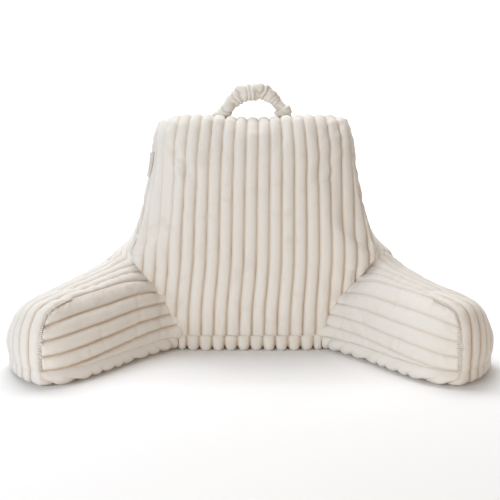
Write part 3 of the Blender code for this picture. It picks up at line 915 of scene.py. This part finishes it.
def frontPhase(face, lean):
    # ribs run up the face: closer together towards the top, leaning a little, and drawn in
    # towards the middle where they roll over
    x, z = face[..., 0], face[..., 2]
    rows = np.arange(face.shape[1])[None, :]
    rolled = easeIn(rows, seamSteps["plainRows"] - 8, face.shape[1] - 1)
    low, higher, over = form["ribSpread"]
    spread = low + higher * (z - form["spreadFrom"]) + over * rolled
    return (x * spread - form["ribShift"] - lean * (z - form["leanFrom"])) / form["ribPitch"]


def backrestPanels():
    panels = {}
    for name, node, side in (("frontPanel", "front_panel", frontMid),
                             ("rearPanel", "rear_panel", rearMid)):
        face, core = [mirroredHalf(half) for half in backrestFace(side)]
        lean = form["ribLean"]
        if side == rearMid:
            face, core, lean = face[::-1], core[::-1], -lean
        calm = backrest["calm"] * easeIn(-face[..., 0], *backrest["calmSide"])
        calm = calm * easeIn(face[..., 2], *backrest["calmHeight"])
        calm = calm * easeIn(np.arange(len(face))[:, None], *backrest["calmSeam"])
        panels[name] = {"node": node, "face": face, "core": core, "rims": backrest["rims"],
                        "calm": calm, "phase": frontPhase(face, lean), "along": arcAlong(face, 1),
                        "seed": plush["seed"]}
    return panels


arms = {
    "rims": (("head", 4.0, 0), ("first", 5.0, 0), ("last", 5.0, 0)),
    "tipReach": 11.0,           # the ribs' rounded ends overlap the diagonal seam
    "tipAhead": (-1.0, -0.55, 0.1),
    "tipRows": 10,
    "calm": {"Left": 0.0, "Right": 0.62},    # the right arm is stuffed smoother
    "calmPlaces": ((10, 13), (18, 21)),      # where that shows on the strip over its top
    "calmEdge": 0.06,
    "seed": {"Left": 8.0, "Right": 15.0},
    "gussetSeed": {"Left": 21.0, "Right": 33.0},
}


def otherHand(grids):
    # the same grids on the left: mirrored, and counted the other way so that they face outwards
    return [grid[::-1] * (-1, 1, 1) if grid.ndim == 3 else grid[::-1] for grid in grids]


def armPanels():
    panels = {}
    ribs, tipRows = seamSteps["armRibs"], arms["tipRows"]
    ahead = np.array(arms["tipAhead"]) * arms["tipReach"]
    for hand in ("Left", "Right"):
        for part in ("Inner", "Outer"):
            face, core = armFace(part == "Inner")
            u = np.linspace(0, 1, face.shape[0])[:, None]
            v = np.linspace(0, 1, face.shape[1])[None, :]
            phase = np.minimum((1 - v) * (ribs - u), ribs - 0.5)
            tips = np.zeros(face.shape)
            if part == "Inner":
                fade = (1 - np.arange(tipRows)[:, None] / tipRows) ** 2
                tips[:tipRows] = (ribProfile(phase[:tipRows]) * fade)[..., None] * ahead
            grids = [face, core, phase, arcAlong(face, 0), tips]
            if part == "Outer":
                grids = [grid[::-1] for grid in grids]
            if hand == "Left":
                grids = otherHand(grids)
            face, core, phase, along, tips = grids
            panels["arm" + part + hand] = {
                "node": "arm_%s_%s" % (part.lower(), hand.lower()), "face": face, "core": core,
                "rims": arms["rims"], "phase": phase, "along": along, "tips": tips,
                "calm": arms["calm"][hand], "seed": arms["seed"][hand]}
    return panels


def gussetPanels():
    panels = {}
    middle, spread = shoulder["calmPlace"]
    for hand, topEnd in (("Left", "last"), ("Right", "first")):
        face, core = gussetFace()
        w = np.linspace(0, 1, face.shape[1])[None, :]
        narrow, wider = shoulder["calmEdge"]
        widening = narrow + wider * easeIn(places, *shoulder["calmEdgePlaces"])[:, None]
        calm = np.exp(-((places - middle) / spread) ** 2)[:, None] * easeIn(w, 0.0, widening)
        smooth = arms["calm"][hand] * comesAndGoes(places, *arms["calmPlaces"])[:, None]
        calm = np.maximum(shoulder["calm"] * calm, smooth * easeIn(w, 0.0, arms["calmEdge"]))
        grids = [face, core, gussetPhase(face), arcAlong(face, 0), calm]
        if hand == "Left":
            grids = otherHand(grids)
        face, core, phase, along, calm = grids
        panels["gusset" + hand] = {
            "node": "gusset_" + hand.lower(), "face": face, "core": core,
            "rims": (("foot", 3.5, 0), ("head", 3.5, 0), (topEnd, 3.0, 0)), "phase": phase,
            "along": along, "calm": calm, "hasMiddle": False, "seed": arms["gussetSeed"][hand]}
    return panels


def makePanels():
    panels = {**backrestPanels(), **armPanels(), **gussetPanels()}
    faces = {name: panel["face"] for name, panel in panels.items()}
    faces = blownUp(faces)
    for name, panel in panels.items():
        panel.setdefault("hasMiddle", True)
        piece = filledPiece(name, faces[name] + panel.get("tips", 0.0), panel["core"], panel)
        raiseRibs(piece, seed=panel["seed"])
        finishPiece(piece, panel["node"])


# fine gathers where the arm's end is sewn to its panel, and plain stitches at the front's foot
gathers = {
    "end": {"spacing": 3.4, "length": 10.5, "width": 3.0, "turn": 78.0, "uneven": 0.45, "seed": 3},
    "endOff": 3.2,              # how far they stand off the seam
    "endBefore": 26,            # how many stations before the arm's front corner they begin
    "foot": {"spacing": 7.0, "length": 4.6, "width": 0.9, "turn": 0.0, "uneven": 0.12, "seed": 5},
    "footOff": (0, -4.6, 1.2),
}


def gatherTree():
    # small puffs set along a line, across it or along it, each turned and sized a little unlike
    g, given = startTree("sewGathers", ("Spacing", "Length", "Width", "Turn", "Uneven"),
                         "NodeSocketInt")
    uneven = given["Uneven"]

    def chance(low, high, shift):
        return g.node("FunctionNodeRandomValue", {"data_type": "FLOAT"},
                      {2: low, 3: high, 8: given["Seed"] + shift}, out=1)

    line = g.node("GeometryNodeMeshToCurve", None, {"Mesh": given["Geometry"]})
    line = g.node("GeometryNodeResampleCurve", {"mode": "LENGTH"},
                  {"Curve": line, "Length": given["Spacing"]})
    puff = g.node("GeometryNodeMeshUVSphere", None, {"Segments": 10, "Rings": 6, "Radius": 0.5})
    length = given["Length"] * (1.0 + uneven * chance(-1.0, 1.0, 0))
    width = given["Width"] * (1.0 + uneven * chance(-0.6, 0.6, 1))
    size = g.node("ShaderNodeCombineXYZ", None, {"X": width, "Y": width, "Z": length})
    facing = g.node("FunctionNodeAlignRotationToVector", {"axis": "Z"},
                    {"Vector": g.node("GeometryNodeInputTangent")})
    lean = g.node("ShaderNodeCombineXYZ", None,
                  {"Y": given["Turn"] + uneven * chance(-0.7, 0.7, 2)})
    turned = g.node("FunctionNodeRotateRotation", {"rotation_space": "LOCAL"},
                    {"Rotation": facing, "Rotate By": lean})
    placed = g.node("GeometryNodeInstanceOnPoints", None,
                    {"Points": line, "Instance": puff, "Rotation": turned, "Scale": size})
    return endTree(g, placed, given["Finish"])


sewing = gatherTree()


def sewnLine(name, lines, sizes):
    points, edges = [], []
    for line in lines:
        first = len(points)
        points += line.tolist()
        edges += [(first + k, first + k + 1) for k in range(len(line) - 1)]
    piece = newObject(name, swayed(points), edges, [])
    runTree(piece, sewing, {
        "Spacing": sizes["spacing"] * mm, "Length": sizes["length"] * mm,
        "Width": sizes["width"] * mm, "Turn": math.radians(sizes["turn"]),
        "Uneven": sizes["uneven"], "Seed": sizes["seed"], "Finish": panelPlush})
    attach(piece, "root")
    print("sewn", name, len(piece.data.polygons))


def makeGathers():
    line = (fronts + unit(fronts - cores) * gathers["endOff"])[armLast - gathers["endBefore"]:]
    sewnLine("endGathers", [line, line * (-1, 1, 1)], gathers["end"])
    foot = mirroredHalf(backrestFace(frontMid)[0])[:, 0]
    foot = foot[np.abs(foot[:, 0]) < form["footX"]] + gathers["footOff"]
    sewnLine("footStitches", [foot], gathers["foot"])


# the base: turned up all round to the low seam, its ribs' ends lying on the floor
underside = {
    # how far out from the seam, and at which height
    "levels": ((-0.2, 30.0), (0.8, 28.2), (2.0, 25.6), (3.0, 22.6), (3.7, 19.4), (4.0, 16.2),
               (3.9, 13.2), (3.2, 10.4), (1.6, 8.0), (-1.6, 6.0), (-6.0, 4.6), (-11.0, 3.7),
               (-17.0, 3.1), (-25.0, 2.6)),
    "turnedUp": 26.0,           # height over which it turns in under the pillow
    "gapRise": 5.0,             # between its ribs the cloth stays clear of the floor
    "clearHeights": (16.0, 6.0),            # from the first height down to the second
    "lumpPitch": 34.0,
    "lumpWaves": ((0.22, 31.0), (0.12, 13.0)),      # how unevenly they follow each other
    "lowFrom": 21.0,            # below this the ribs' ends grow,
    "lowOver": 14.0,            # over this height
    "armSwell": 8.0,            # the lowest rib along the arms stands fuller
    "armLumps": (0.75, 0.10, 0.85),   # lumps by the arm's seams, how fast they end, and low down
    "seamLift": (0.62, 0.85),   # the ribs at the front's seam, and one row below it
    "step": 2.2,
    "ribs": {"ribHeight": 6.8, "roundness": 2.0, "seed": 44.0},
}


def baseOutline():
    # the low seam in plan, right half, from the front's middle round to the rear's. Each row
    # holds x, y, the count of ribs, how deep its lumps are high on the side and low down, how
    # far the base swells with the panel's lowest rib, and marks for the arm's end and the arm.
    ribs = seamSteps["armRibs"]
    front, rear = [backrestFace(side)[0][:, 0] for side in (frontMid, rearMid)]
    front = front[front[:, 0] < form["footX"]]
    rear = rear[rear[:, 0] < footRow[rearHalf]][::-1]
    inner, outer = [armFace(isInner)[0][:, 0] for isInner in (True, False)]
    outer = outer[::-1]
    face = gussetFace()[0]
    depth, fade, armLow = underside["armLumps"]
    lumpy = depth * np.exp(-np.linspace(0, 1, len(inner)) / fade)

    def flush(count):
        return ribProfile(np.minimum(ribs - np.linspace(0, 1, count), ribs - 0.5))

    table, last = [], 0
    for points, phase, high, low, swell, isEnd, isArm in (
            (front, front[:, 0] * form["ribSpread"][0] / form["ribPitch"], 1, 1, 0, 0, 0),
            (inner, None, lumpy, armLow, flush(len(inner)), 0, 1),
            (face[-1, 1:], gussetPhase(face)[-1, 1:], 1, 1, 0, 1, 1),
            (outer[1:], None, lumpy[::-1][1:], armLow, flush(len(outer) - 1)[::-1], 0, 1),
            (rear, None, 1, 1, 0, 0, 0)):
        if phase is None:
            walked = walkedAlong(points[:, :2])
            phase = last + walked / underside["lumpPitch"]
            for share, length in underside["lumpWaves"]:
                phase = phase + share * np.sin(walked / length)
        else:
            phase = phase + round(last)
        last = phase[-1]
        table.append(np.stack(np.broadcast_arrays(
            points[:, 0], points[:, 1], phase, high, low, swell, isEnd, isArm), axis=1))
    return np.vstack(table)


def evenedRound(values, reach=14):
    kernel = np.exp(-(np.arange(-reach, reach + 1) / (reach / 2)) ** 2)
    wrapped = np.concatenate((values[-reach:], values, values[:reach]))
    return np.convolve(wrapped, kernel / kernel.sum(), "valid")


def makeBase():
    half = baseOutline()
    twin = half[::-1][1:-1] * (-1, 1, -1, 1, 1, 1, 1, 1)
    closed = np.vstack((half, twin, half[:1]))
    walked = walkedAlong(closed[:, :2])
    count = int(walked[-1] / underside["step"])
    rows = resampled(np.linspace(0, walked[-1], count + 1)[:-1], walked, closed)
    plan, ribs = rows[:, :2], rows[:, 2:3]
    high, low, flush, through, plain = rows[:, 3:].T
    high, low, plain = [evenedRound(values)[:, None] for values in (high, low, plain)]
    flush, through = flush[:, None], through[:, None]
    along = np.roll(plan, -2, axis=0) - np.roll(plan, 2, axis=0)
    outward = unit(np.stack((along[:, 1], -along[:, 0]), axis=1))
    outward = unit(np.stack([evenedRound(column) for column in outward.T], axis=1))

    out, level = np.array(underside["levels"]).T
    top = level[0]
    down = np.clip((top - level) / underside["turnedUp"], 0, 1)
    swollen = out + (1 - high) * underside["armSwell"] * np.sin(down * math.pi) ** 1.15
    swollen = swollen + flush * plush["ribHeight"] * (1 - down) ** 1.5
    swollen = swollen - plain * np.maximum(out, 0.0) * 0.8
    grid = np.zeros((count, len(level), 3))
    grid[..., :2] = plan[:, None] + outward[:, None] * swollen[..., None]
    clear = underside["gapRise"] * easeIn(level, *underside["clearHeights"])
    grid[..., 2] = level + clear * (0.5 + 0.5 * np.clip(high, 0, 1))
    depth = np.clip((underside["lowFrom"] - level) / underside["lowOver"], 0, 1)
    depth = depth ** (1 + 0.6 * plain)
    slant = (1 - high) * np.sign(grid[..., 0]) * (top - level) / underside["turnedUp"]
    lift = (high + (low - high) * depth) * (1 + 1.1 * depth * (1 - plain))
    seamRow, nextRow = underside["seamLift"]
    atFront = np.abs(plan[:, 1:] - footRow[frontSeam]) < 3.0     # ribs reach the seam only here
    lift[:, :1] *= np.where(atFront, seamRow, 0.0) * (1 - through) + through
    lift[:, 1:2] *= nextRow + (1 - nextRow) * through

    index = np.arange(count * len(level)).reshape(count, len(level))
    faces = gridFaces(np.vstack((index, index[:1])), turned=True)
    a, b, c, d = [int(np.argmin(np.linalg.norm(plan - corner, axis=1))) for corner in (
        (form["footX"], footRow[frontSeam]), (footRow[rearHalf], footRow[rearSeam]),
        (-footRow[rearHalf], footRow[rearSeam]), (-form["footX"], footRow[frontSeam]))]
    for rim, turn in ((index[:, -1].tolist(), -1), (index[:, 0].tolist(), 1)):
        # closed in three parts: under the backrest, and under each arm
        for part in (rim[d:] + rim[:a + 1] + rim[b:c + 1], rim[a:b + 1], rim[c:d + 1]):
            faces.append(part[::turn])
    piece = meshPiece("base", grid.reshape(-1, 3), faces, {
        "ribPhase": (ribs + slant).ravel(), "ribAlong": np.tile(level, count),
        "ribLift": lift.ravel(), "seamNear": np.zeros(lift.size)})
    raiseRibs(piece, **underside["ribs"])
    finishPiece(piece, "base_panel")


# the carry handle: a ruched plush tube, gathered unevenly
carry = {
    "arch": ((-66, -10), (-56, 8), (-40, 27), (-18, 41), (7, 45), (28, 41), (45, 28), (59, 10),
             (64, -10)),        # x, and height above the foot, of the tube's middle
    "radius": 9.6,
    "fullness": 4.4,            # how much thicker it is at the top of the arch,
    "fullPlace": (0.47, 0.17),  # where along it, and how far that spreads
    "footFlare": 6.0,
    "flareEnds": (0.10, 0.07),  # how fast that ends, from the left foot and the right
    "calmPlaces": ((0.04, 0.2), (0.58, 0.74)),      # where its folds come up, and sink again
    "band": (0.86, 0.955),      # the folded wrap round the right foot, along the arch
    "bandRadius": 18.5,
    "bandSteps": 26,
    "bandFold": 1.9,
    "foot": (50.0, 465.0),
    "lean": 6.0,                # how far it leans forward at this height
    "leanHeight": 51.0,
    "gathers": 13.0,
    "steps": 150,
    "sides": 40,
    "ribs": {"ribHeight": 5.2, "roundness": 1.8, "softness": 2.4, "pucker": 2.4, "seed": 51.0},
}


def handlePath(steps):
    curve = roundCurve(carry["arch"], np.linspace(0, len(carry["arch"]) - 1, steps + 1))
    y = carry["foot"][0] - carry["lean"] * (curve[:, 1] / carry["leanHeight"])
    return np.stack((curve[:, 0], y, carry["foot"][1] + curve[:, 1]), axis=1)


def tubeGrid(path, radius, sides):
    ahead = unit(np.gradient(path, axis=0))
    across = unit(np.cross(ahead, (0.0, 1.0, 0.0)))
    depth = unit(np.cross(ahead, across))
    turn = np.arange(sides) / sides * 2 * math.pi
    ring = across[:, None] * np.cos(turn)[:, None] + depth[:, None] * np.sin(turn)[:, None]
    return path[:, None] + ring * radius[..., None]


def tubeFaces(rows, sides, first):
    index = np.arange(rows * sides).reshape(rows, sides) + first
    faces = gridFaces(np.column_stack((index, index[:, 0])), turned=True)
    return faces + [index[0][::-1].tolist(), index[-1].tolist()]


def makeHandle():
    steps, sides = carry["steps"], carry["sides"]
    path = handlePath(steps)
    turn = (np.arange(sides) / sides * 2 * math.pi)[None, :]
    t = (np.arange(steps + 1) / steps)[:, None]
    # all the waves are of unlike lengths, so that no two gathers are the same
    gather = t * carry["gathers"] + 0.45 * np.sin(t * 17.0) + 0.3 * np.sin(t * 41.0 + 1.0)
    phase = gather + 0.34 * np.sin(turn + t * 9.0) + 0.12 * np.sin(3 * turn - t * 31.0)
    radius = carry["radius"] + 1.5 * np.sin(t * 27.0 + 1.5) * np.cos(turn + t * 7)
    radius = radius + 1.2 * np.cos(2 * turn + 19 * t)
    fullest, spread = carry["fullPlace"]
    left, right = carry["flareEnds"]
    radius = radius + carry["fullness"] * np.exp(-((t - fullest) / spread) ** 2)
    radius = radius + carry["footFlare"] * (np.exp(-t / left) + 0.5 * np.exp(-(1 - t) / right))
    tube = tubeGrid(path, radius, sides)
    coming, going = carry["calmPlaces"]
    lift = (0.5 + 0.5 * easeIn(t, *coming)) * (1 - 0.45 * easeIn(t, *going))
    lift = np.broadcast_to(lift, radius.shape)

    # the wrap: one more turn of cloth, its edges rounded and a fold running across it
    middle = resampled(np.linspace(*carry["band"], carry["bandSteps"]), t[:, 0], path)
    s = np.linspace(-1, 1, len(middle))[:, None]
    cuff = carry["bandRadius"] * (1 - 0.30 * np.abs(s) ** 7) + 0.7 * np.sin(turn * 3 + s * 2)
    cuff = cuff - carry["bandFold"] * np.exp(-((s - 0.30 * np.sin(turn + 0.6)) / 0.10) ** 2)
    band = tubeGrid(middle, cuff, sides)

    smooth = np.zeros(cuff.size)
    points = np.vstack((tube.reshape(-1, 3), band.reshape(-1, 3)))
    faces = tubeFaces(len(tube), sides, 0) + tubeFaces(len(band), sides, lift.size)
    piece = meshPiece("carryHandle", points, faces, {
        "ribPhase": np.append(phase.ravel(), smooth + 0.5),
        "ribAlong": np.tile(turn.ravel() * 12, len(tube) + len(band)),
        "ribLift": np.append(lift.ravel(), smooth),
        "seamNear": np.append(np.full(lift.size, 0.7), smooth)})
    raiseRibs(piece, **carry["ribs"])
    finishPiece(piece, "handle")


# the folded tape in the left side seam
label = {
    "low": 344.0,
    "length": 48.0,
    "rows": 13,
    "loop": ((0.5, -0.8), (5.0, -0.8), (9.0, -0.9), (10.4, -0.6), (10.8, 0.0), (10.4, 0.6),
             (9.0, 0.9), (5.0, 0.8), (0.5, 0.8)),     # its section: out of the seam, and across
    "sewnIn": 0.6,
    "curl": 0.6,
    "out": (-0.78, -0.62, 0),
    "across": (0.62, -0.78, 0),
    "light": (0.80, 0.80, 0.79),
    "dark": (0.70, 0.70, 0.70),
    "weave": 700.0,
    "roughness": 0.6,
}


def tapeMaterial():
    finish, shader, m = newMaterial("labelTape", {"Roughness": label["roughness"]})
    where = m.node("ShaderNodeTexCoord", out="Object")
    weave = m.node("ShaderNodeTexWave", {"bands_direction": "Z"},
                   {"Vector": where, "Scale": label["weave"]})
    feed(shader, {"Base Color": mixed(weave, (*label["dark"], 1), (*label["light"], 1))})
    return finish


def makeLabel():
    out, across = np.array(label["out"]), np.array(label["across"])
    points = []
    for share in np.linspace(0, 1, label["rows"]):
        z = label["low"] + label["length"] * share
        row = backrestAt(z)
        root = np.array((-row[frontHalf], row[frontSeam], z))
        curl = label["curl"] * math.sin(share * math.pi)
        points += [root + out * (reach + label["sewnIn"]) + across * (side + curl * reach / 10)
                   for reach, side in label["loop"]]
    fields = {name: np.zeros(len(points)) for name in ("ribPhase", "ribAlong", "ribLift", "seamNear")}
    piece = meshPiece("sideLabel", points, tubeFaces(label["rows"], len(label["loop"]), 0), fields)
    piece.data.materials.append(tapeMaterial())
    finishPiece(piece, "side_label")


makePanels()
makeGathers()
makeBase()
makeHandle()
makeLabel()

studio = {
    "lens": 79.2,
    "cameraPlace": (0.0, -2.238, 0.6117),
    "cameraPitch": 79.26,
    "floorFinish": {"Base Color": (0.90, 0.90, 0.90, 1), "Roughness": 0.9,
                    "Specular IOR Level": 0.0},
    "floorFront": -2.9,
    "floorSide": 3.6,
    "turnStart": 4.0,           # where the floor turns up into the backdrop
    "turnRadius": 2.5,
    "backdropTop": 9.0,
    "skyColour": (1.0, 0.98, 0.96),
    "skyStrength": 0.25,
    # place, aim, size, power and colour
    "lamps": {
        "keyLight": ((-2.1, -2.3, 0.95), (0, -0.05, 0.2), (1.6, 1.2), 39.0, (0.87, 1.0, 1.12)),
        "frontLight": ((0.3, -3.0, 0.75), (0, 0, 0.2), (1.5, 1.0), 20.0, (1.3, 1.0, 0.72)),
        "backLight": ((-0.3, 0.9, 2.6), (0, -0.5, 0), (2.4, 1.6), 60.0, (1.0, 1.0, 1.02)),
        "backdropLight": ((0, 2.4, 4.2), (0, 6.0, 1.2), (8.0, 1.5), 400.0, (1.0, 1.0, 1.0)),
    },
}


def makeFloor():
    # the floor turns up far behind into a plain backdrop
    start, radius, side = studio["turnStart"], studio["turnRadius"], studio["floorSide"]
    profile = [(studio["floorFront"], 0.0)]
    profile += [(start + radius * math.sin(turn), radius - radius * math.cos(turn))
                for turn in np.linspace(0, math.pi / 2, 13)]
    profile.append((start + radius, studio["backdropTop"]))
    points = np.array([(x, y, z) for y, z in profile for x in (-side, side)])
    faces = [(2 * k, 2 * k + 1, 2 * k + 3, 2 * k + 2) for k in range(len(profile) - 1)]
    floor = newObject("floor", points / mm, [], faces)
    floor.data.shade_smooth()
    floor.data.materials.append(newMaterial("paleFloor", studio["floorFinish"])[0])


def makeSky():
    # the plain white room is seen as such, but only its soft share lights the pillow
    world = bpy.context.scene.world or bpy.data.worlds.new("studio")
    bpy.context.scene.world = world
    world.use_nodes = True
    sky = world.node_tree.nodes["Background"]
    sky.inputs["Color"].default_value = (*studio["skyColour"], 1)
    seen = Wire(world.node_tree).node("ShaderNodeLightPath")
    feed(sky, {"Strength": seen * (1.0 - studio["skyStrength"]) + studio["skyStrength"]})


def makeLightsAndCamera():
    for name, (place, aim, size, power, colour) in studio["lamps"].items():
        lamp = bpy.data.lights.new(name, "AREA")
        lamp.shape = "RECTANGLE"
        lamp.size, lamp.size_y = size
        lamp.energy = power
        lamp.color = colour
        holder = addObject(name, lamp)
        holder.location = place
        holder.rotation_euler = (Vector(aim) - Vector(place)).to_track_quat("-Z", "Y").to_euler()
    camera = bpy.data.cameras.new("photoView")
    camera.lens = studio["lens"]
    camera.sensor_width = 36.0
    camera.sensor_fit = "HORIZONTAL"
    holder = addObject("photoView", camera)
    holder.location = studio["cameraPlace"]
    holder.rotation_euler = (math.radians(studio["cameraPitch"]), 0, 0)
    bpy.context.scene.camera = holder
    bpy.context.scene.view_settings.view_transform = "Standard"


makeFloor()
makeSky()
makeLightsAndCamera()
print("studio ready")
